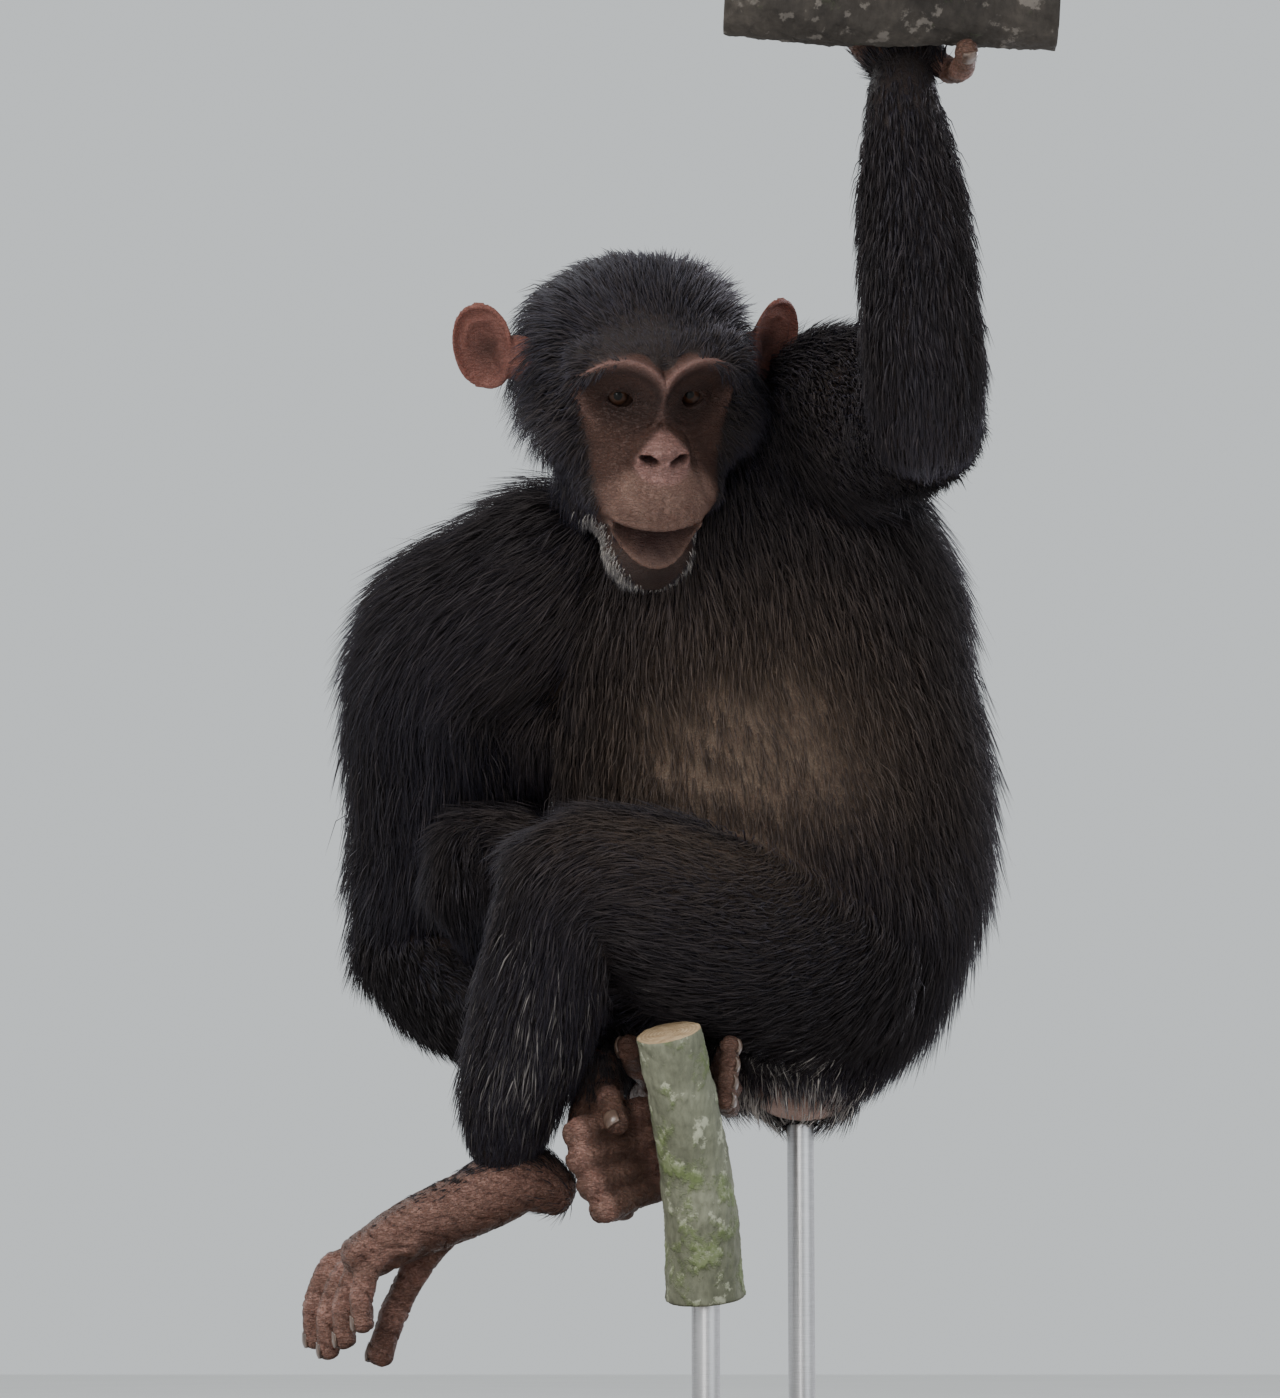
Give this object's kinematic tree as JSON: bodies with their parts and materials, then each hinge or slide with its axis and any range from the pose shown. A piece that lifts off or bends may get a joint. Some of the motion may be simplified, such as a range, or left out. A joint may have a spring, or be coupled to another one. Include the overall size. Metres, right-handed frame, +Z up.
{
  "type": "chimpanzee",
  "caption": "Still, life-size model of a young chimpanzee gripping a branch with a raised hand and a thin trunk with the other, held by a plain display stand.",
  "frame": {"origin": "middle of the underside of the stand's base, at the middle of the whole object's plan", "axes": "+Z up, the animal looks along -Y, its left side towards +X"},
  "size_m": [0.45, 0.45, 0.8668],
  "materials": {
    "coat": "black hair with a cool sheen, browner where it thins",
    "bare_skin": "bare brown and pink skin with fine creases",
    "eyes": "wet dark brown eye",
    "teeth": "ivory teeth",
    "tongue": "moist tongue",
    "bark": "grey-green mossy bark",
    "dark_bark": "dark rough bark",
    "stand_wood": "oiled dark wood",
    "stand_steel": "brushed steel rod"
  },
  "bodies": {
    "root": {"head": "coat", "ear_left": "bare_skin", "ear_right": "bare_skin", "eye_left": "eyes", "eye_right": "eyes", "teeth_upper": "teeth", "tongue": "tongue", "neck": "coat", "torso": "coat", "upper_arm_left": "coat", "forearm_left": "coat", "hand_left": "bare_skin", "upper_arm_right": "coat", "forearm_right": "coat", "hand_right": "bare_skin", "thigh_left": "coat", "shin_left": "coat", "foot_left": "bare_skin", "thigh_right": "coat", "shin_right": "coat", "foot_right": "bare_skin", "perch_trunk": "bark", "perch_branch": "dark_bark", "stand_base": "stand_wood", "stand_rod_body": "stand_steel", "stand_rod_perch": "stand_steel"}
  },
  "joints": []
}
